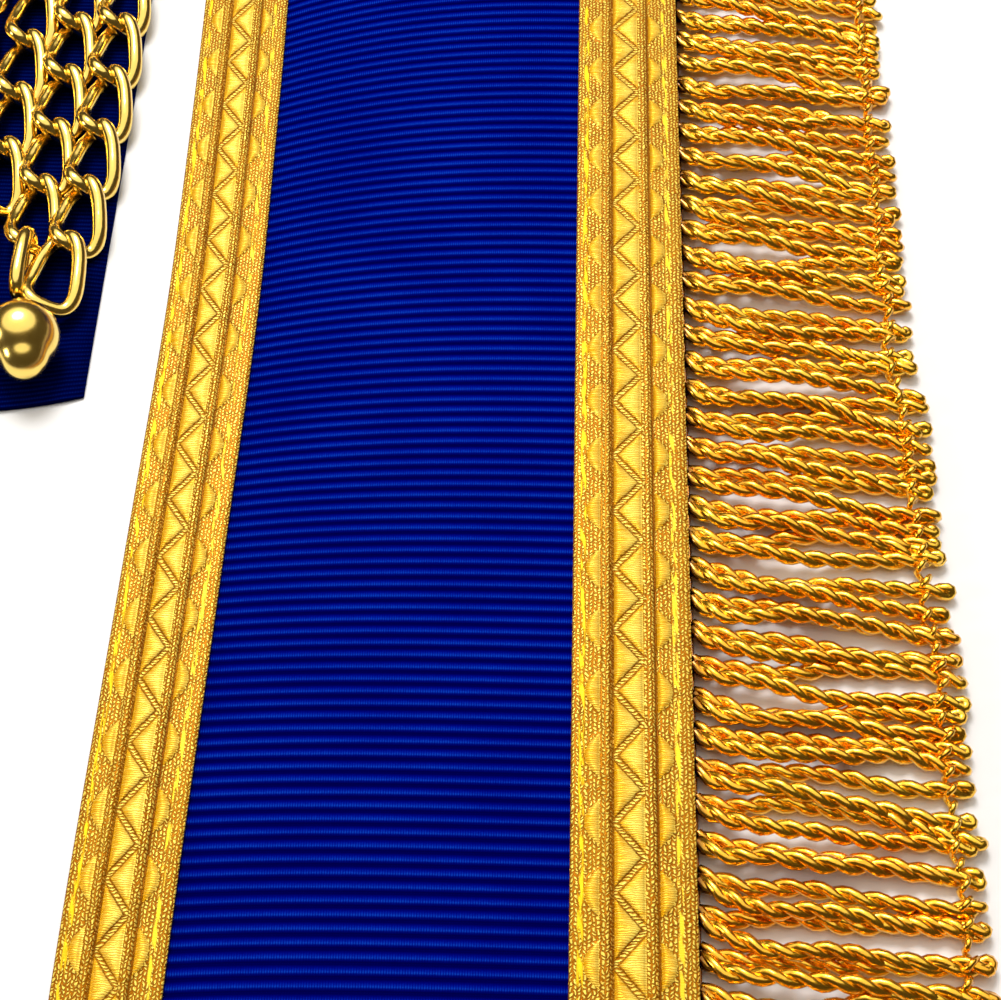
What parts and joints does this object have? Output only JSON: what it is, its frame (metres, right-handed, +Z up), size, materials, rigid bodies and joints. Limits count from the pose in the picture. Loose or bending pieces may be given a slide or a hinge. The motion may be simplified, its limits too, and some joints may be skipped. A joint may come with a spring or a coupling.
{
  "type": "regalia apron with chain tassels",
  "caption": "Ceremonial apron: leather panel with ribbon border, gold braid and bullion fringe, chain tassels with balls, and a clasped belt.",
  "frame": {"origin": "centre of the foot of the whole piece, on the surface it lies on", "axes": "+X towards the right side as it is seen face up, +Y towards the waist, +Z up out of the face"},
  "size_m": [0.5404, 0.4914, 0.028],
  "materials": {
    "white_leather": "smooth white leather",
    "blue_ribbon": "ribbed royal blue grosgrain",
    "dark_blue_ribbon": "fine ribbed dark blue grosgrain",
    "gold_braid": "woven gold lace with satin figures",
    "gold_fringe": "glossy two ply twisted gold bullion cord",
    "gilt_metal": "polished gilt"
  },
  "bodies": {
    "root": {"apron_panel": "white_leather", "waistband": "blue_ribbon", "belt_left": "blue_ribbon", "belt_right": "blue_ribbon", "belt_clasp": "gilt_metal", "border_ribbon_left": "blue_ribbon", "braid_left_outer": "gold_braid", "braid_left_inner": "gold_braid", "fringe_left": "gold_fringe", "border_ribbon_right": "blue_ribbon", "braid_right_outer": "gold_braid", "braid_right_inner": "gold_braid", "fringe_right": "gold_fringe", "border_ribbon_bottom": "blue_ribbon", "braid_bottom_outer": "gold_braid", "braid_bottom_inner": "gold_braid", "fringe_bottom": "gold_fringe", "tassel_ribbon_left": "dark_blue_ribbon", "chain_bar_left": "gilt_metal", "chain_left_middle": "gilt_metal", "ball_left_middle": "gilt_metal", "chain_left_outer": "gilt_metal", "chain_left_outer_second": "gilt_metal", "ball_left_outer": "gilt_metal", "chain_left_inner": "gilt_metal", "chain_left_inner_second": "gilt_metal", "ball_left_inner": "gilt_metal", "tassel_ribbon_right": "dark_blue_ribbon", "chain_bar_right": "gilt_metal", "chain_right_middle": "gilt_metal", "ball_right_middle": "gilt_metal", "chain_right_outer": "gilt_metal", "chain_right_outer_second": "gilt_metal", "ball_right_outer": "gilt_metal", "chain_right_inner": "gilt_metal", "chain_right_inner_second": "gilt_metal", "ball_right_inner": "gilt_metal"}
  },
  "joints": []
}
